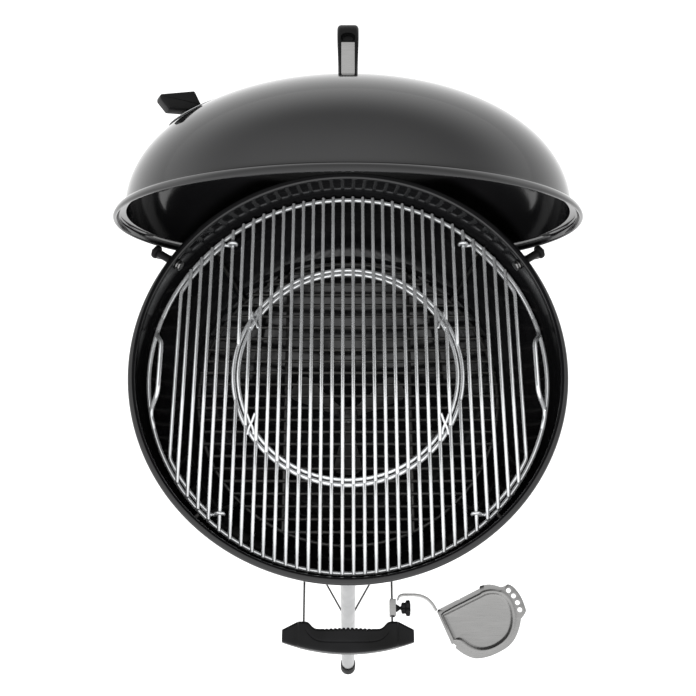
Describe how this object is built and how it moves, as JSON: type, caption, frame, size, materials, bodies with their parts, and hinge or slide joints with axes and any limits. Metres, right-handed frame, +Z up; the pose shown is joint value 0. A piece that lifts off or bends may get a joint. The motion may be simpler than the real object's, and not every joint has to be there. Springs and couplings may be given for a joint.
{
  "type": "kettle charcoal grill",
  "caption": "Round kettle charcoal grill on splayed legs with two wheels, open, its domed lid stowed behind the bowl, with hinged cooking grate, ash pan, wire rack and a side tray.",
  "frame": {"origin": "on the floor, under the middle of the whole grill's bounding box", "axes": "+Z up, +X to the right of a person at the front handle, +Y to the back, where the lid is stowed"},
  "size_m": [0.6506, 0.78, 1.1752],
  "materials": {
    "black_enamel": "gloss porcelain enamel",
    "plated_wire": "bright plated wire",
    "grate_steel": "plain steel wire",
    "satin_aluminium": "satin",
    "brushed_stainless": "brushed",
    "black_nylon": "fine moulded grain",
    "black_coated_wire": "semi-gloss coating",
    "tyre_rubber": "matt"
  },
  "bodies": {
    "stand": {"bowl": "black_enamel", "leg_socket_front": "black_enamel", "leg_socket_rear_right": "black_enamel", "leg_socket_rear_left": "black_enamel", "leg_front": "satin_aluminium", "leg_rear_right": "satin_aluminium", "leg_rear_left": "satin_aluminium", "foot_cap": "black_nylon", "axle": "brushed_stainless", "bottom_rack": "black_coated_wire", "ash_ring": "satin_aluminium", "lid_rest_sleeve_right": "black_nylon", "lid_rest_sleeve_left": "black_nylon", "lid_rest_bolt_right": "brushed_stainless", "lid_rest_bolt_left": "brushed_stainless", "lid_cradle_wire": "black_coated_wire", "grate_bracket_1": "grate_steel", "grate_bracket_2": "grate_steel", "grate_bracket_3": "grate_steel", "grate_bracket_4": "grate_steel", "handle_arm_right": "black_coated_wire", "handle_arm_left": "black_coated_wire", "handle_grip": "black_nylon"},
    "lid": {"lid_shell": "black_enamel", "lid_handle_grip": "black_nylon", "lid_handle_strap_top": "brushed_stainless", "lid_handle_strap_bottom": "brushed_stainless", "lid_damper_rivet": "brushed_stainless"},
    "lid_damper": {"lid_damper_disc": "satin_aluminium", "lid_damper_tab": "black_nylon"},
    "cooking_grate": {"cooking_grate": "plated_wire"},
    "flap_right": {"grate_flap_right": "plated_wire"},
    "flap_left": {"grate_flap_left": "plated_wire"},
    "insert": {"grate_insert": "plated_wire"},
    "charcoal_grate": {"charcoal_grate": "grate_steel"},
    "sweeper": {"sweeper_spindle": "brushed_stainless", "vent_blade_1": "grate_steel", "vent_blade_2": "grate_steel", "vent_blade_3": "grate_steel", "sweeper_lever": "brushed_stainless", "sweeper_lever_grip": "black_nylon"},
    "ash_pan": {"ash_pan": "satin_aluminium"},
    "ash_bail": {"ash_pan_bail": "plated_wire"},
    "wheel_right": {"tyre_right": "tyre_rubber", "wheel_rim_right": "black_nylon", "hub_cap_right": "brushed_stainless"},
    "wheel_left": {"tyre_left": "tyre_rubber", "wheel_rim_left": "black_nylon", "hub_cap_left": "brushed_stainless"},
    "tray": {"tray_clamp": "brushed_stainless", "tray_arm": "brushed_stainless", "probe_tray": "brushed_stainless"},
    "thumb_knob": {"thumb_knob": "black_nylon"}
  },
  "joints": [
    {"name": "lid_lift", "type": "slide", "parent": "stand", "child": "lid", "axis": [0, 0.5736, 0.8192], "range_m": [0, 0.35]},
    {"name": "lid_damper_turn", "type": "hinge", "parent": "lid", "child": "lid_damper", "pos_m": [-0.18686, 0.23502, 1.00582], "axis": [-0.452, 0.7716, 0.4476], "range_deg": [0, 45]},
    {"name": "grate_lift", "type": "slide", "parent": "stand", "child": "cooking_grate", "axis": [0, 0, 1], "range_m": [0, 0.15]},
    {"name": "flap_right_hinge", "type": "hinge", "parent": "cooking_grate", "child": "flap_right", "pos_m": [0.16445, -0.01795, 0.7696], "axis": [0, -1, 0], "range_deg": [0, 100]},
    {"name": "flap_left_hinge", "type": "hinge", "parent": "cooking_grate", "child": "flap_left", "pos_m": [-0.16445, -0.01795, 0.7696], "axis": [0, 1, 0], "range_deg": [0, 100]},
    {"name": "insert_lift", "type": "slide", "parent": "cooking_grate", "child": "insert", "axis": [0, 0, 1], "range_m": [0, 0.15]},
    {"name": "charcoal_grate_lift", "type": "slide", "parent": "stand", "child": "charcoal_grate", "axis": [0, 0, 1], "range_m": [0, 0.06]},
    {"name": "sweeper_turn", "type": "hinge", "parent": "stand", "child": "sweeper", "pos_m": [0, -0.01795, 0.574], "axis": [0, 0, 1], "range_deg": [-28, 28]},
    {"name": "ash_pan_drop", "type": "slide", "parent": "stand", "child": "ash_pan", "axis": [0, 0, -1], "range_m": [0, 0.08]},
    {"name": "ash_bail_swing", "type": "hinge", "parent": "ash_pan", "child": "ash_bail", "pos_m": [0, -0.01795, 0.53], "axis": [1, 0, 0], "range_deg": [-90, 90]},
    {"name": "wheel_right_spin", "type": "hinge", "parent": "stand", "child": "wheel_right", "pos_m": [0.301, 0.13145, 0.1], "axis": [1, 0, 0], "continuous": true},
    {"name": "wheel_left_spin", "type": "hinge", "parent": "stand", "child": "wheel_left", "pos_m": [-0.301, 0.13145, 0.1], "axis": [1, 0, 0], "continuous": true},
    {"name": "tray_lift", "type": "slide", "parent": "stand", "child": "tray", "axis": [0, 0, 1], "range_m": [0, 0.08]},
    {"name": "thumb_knob_turn", "type": "hinge", "parent": "tray", "child": "thumb_knob", "pos_m": [0.068, -0.32995, 0.765], "axis": [1, 0, 0], "continuous": true}
  ]
}
